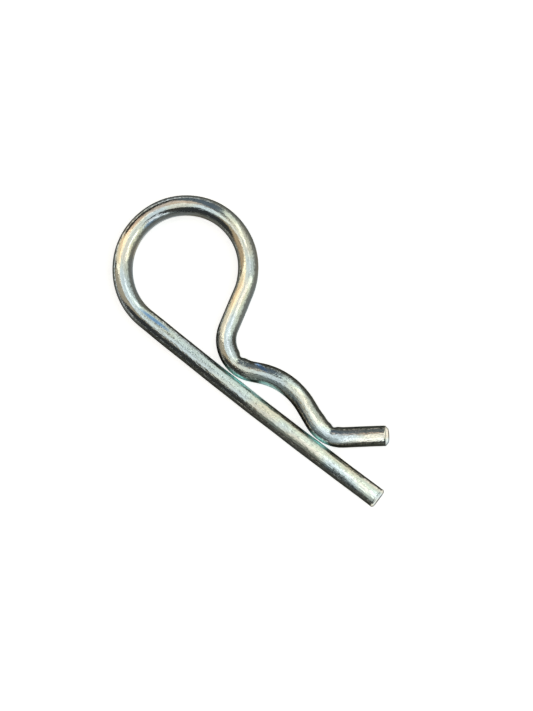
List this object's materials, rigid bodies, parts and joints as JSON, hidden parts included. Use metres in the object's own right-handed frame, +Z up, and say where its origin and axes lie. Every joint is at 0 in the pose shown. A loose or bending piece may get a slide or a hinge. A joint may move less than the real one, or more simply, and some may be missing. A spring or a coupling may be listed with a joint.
{
  "type": "hitch r clip pin",
  "caption": "R-shaped retaining clip of bent round spring wire, with a straight leg, a round loop, a shaped leg that seats over a hitch pin, and a flared tail.",
  "frame": {"origin": "under the middle of the clip's bounding box, on the surface that it lies on", "axes": "+X along the straight leg towards its tip, +Y from the straight leg towards the shaped leg, +Z up, square to the plane of the clip"},
  "size_m": [0.071, 0.0294, 0.004],
  "materials": {
    "zinc_plated_wire": "bright zinc plate on smooth drawn spring wire, with faint lengthwise die lines and thin pale blue, straw and pink tints"
  },
  "bodies": {
    "root": {"clip": "zinc_plated_wire"}
  },
  "joints": []
}
